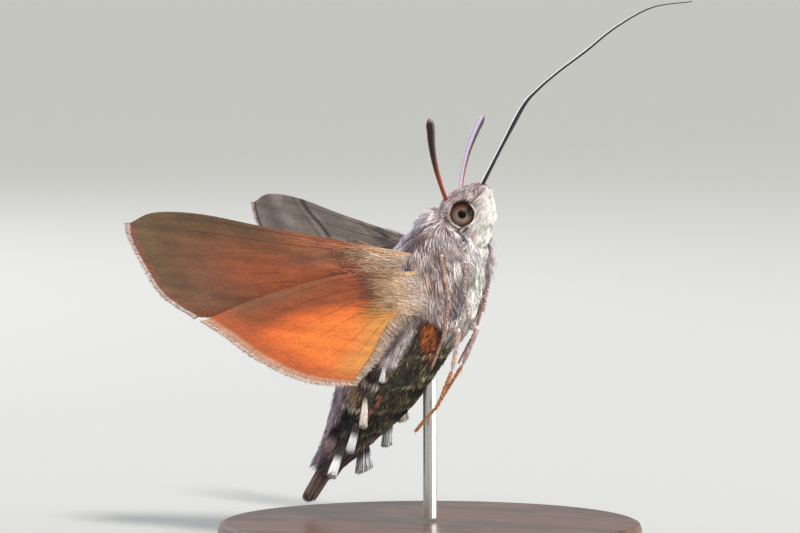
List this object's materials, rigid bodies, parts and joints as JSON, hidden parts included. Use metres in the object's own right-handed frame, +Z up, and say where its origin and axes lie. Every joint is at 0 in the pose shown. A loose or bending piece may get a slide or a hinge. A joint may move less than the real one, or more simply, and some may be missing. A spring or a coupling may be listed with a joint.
{
  "type": "hummingbird hawk moth",
  "caption": "Life-size hummingbird hawk moth hovering nose up, wings swept back and long tongue out, on a round display stand with a thin rod.",
  "frame": {"origin": "centre of the underside of the stand's round base, which stands on the floor", "axes": "+X the way the moth faces, +Y its left, +Z up; the model is nearly symmetric about the plane Y=0, apart from its left wings and two pairs of legs"},
  "size_m": [0.0439, 0.034, 0.0439],
  "materials": {
    "stand_wood": "satin varnished walnut",
    "stand_steel": "polished stainless rod",
    "head_coat": "short hair-scales, lilac grey",
    "eye": "glossy compound eye with dark false pupils",
    "pale_coat": "dense white scales",
    "feeler": "dark scaled and ringed",
    "proboscis": "glossy black cuticle",
    "thorax_coat": "long grey-brown hair-scales",
    "abdomen_coat": "dark scales with pale and black side tufts",
    "tail_scales": "long flat dark scales",
    "forewing": "brown scaled membrane",
    "hindwing": "orange scaled membrane",
    "leg": "pale scaled and ringed"
  },
  "bodies": {
    "root": {"stand_base": "stand_wood", "stand_rod": "stand_steel", "head": "head_coat", "eye_left": "eye", "eye_right": "eye", "palp_left": "pale_coat", "palp_right": "pale_coat", "antenna_left": "feeler", "antenna_right": "feeler", "proboscis_base": "proboscis", "proboscis_middle": "proboscis", "proboscis_tip": "proboscis", "thorax": "thorax_coat", "abdomen_front": "abdomen_coat", "abdomen_rear": "abdomen_coat", "tail": "tail_scales", "forewing_left": "forewing", "forewing_right": "forewing", "hindwing_left": "hindwing", "hindwing_right": "hindwing", "foreleg_left": "leg", "foreleg_right": "leg", "midleg_left": "leg", "midleg_right": "leg", "hindleg_left": "leg", "hindleg_right": "leg"}
  },
  "joints": []
}
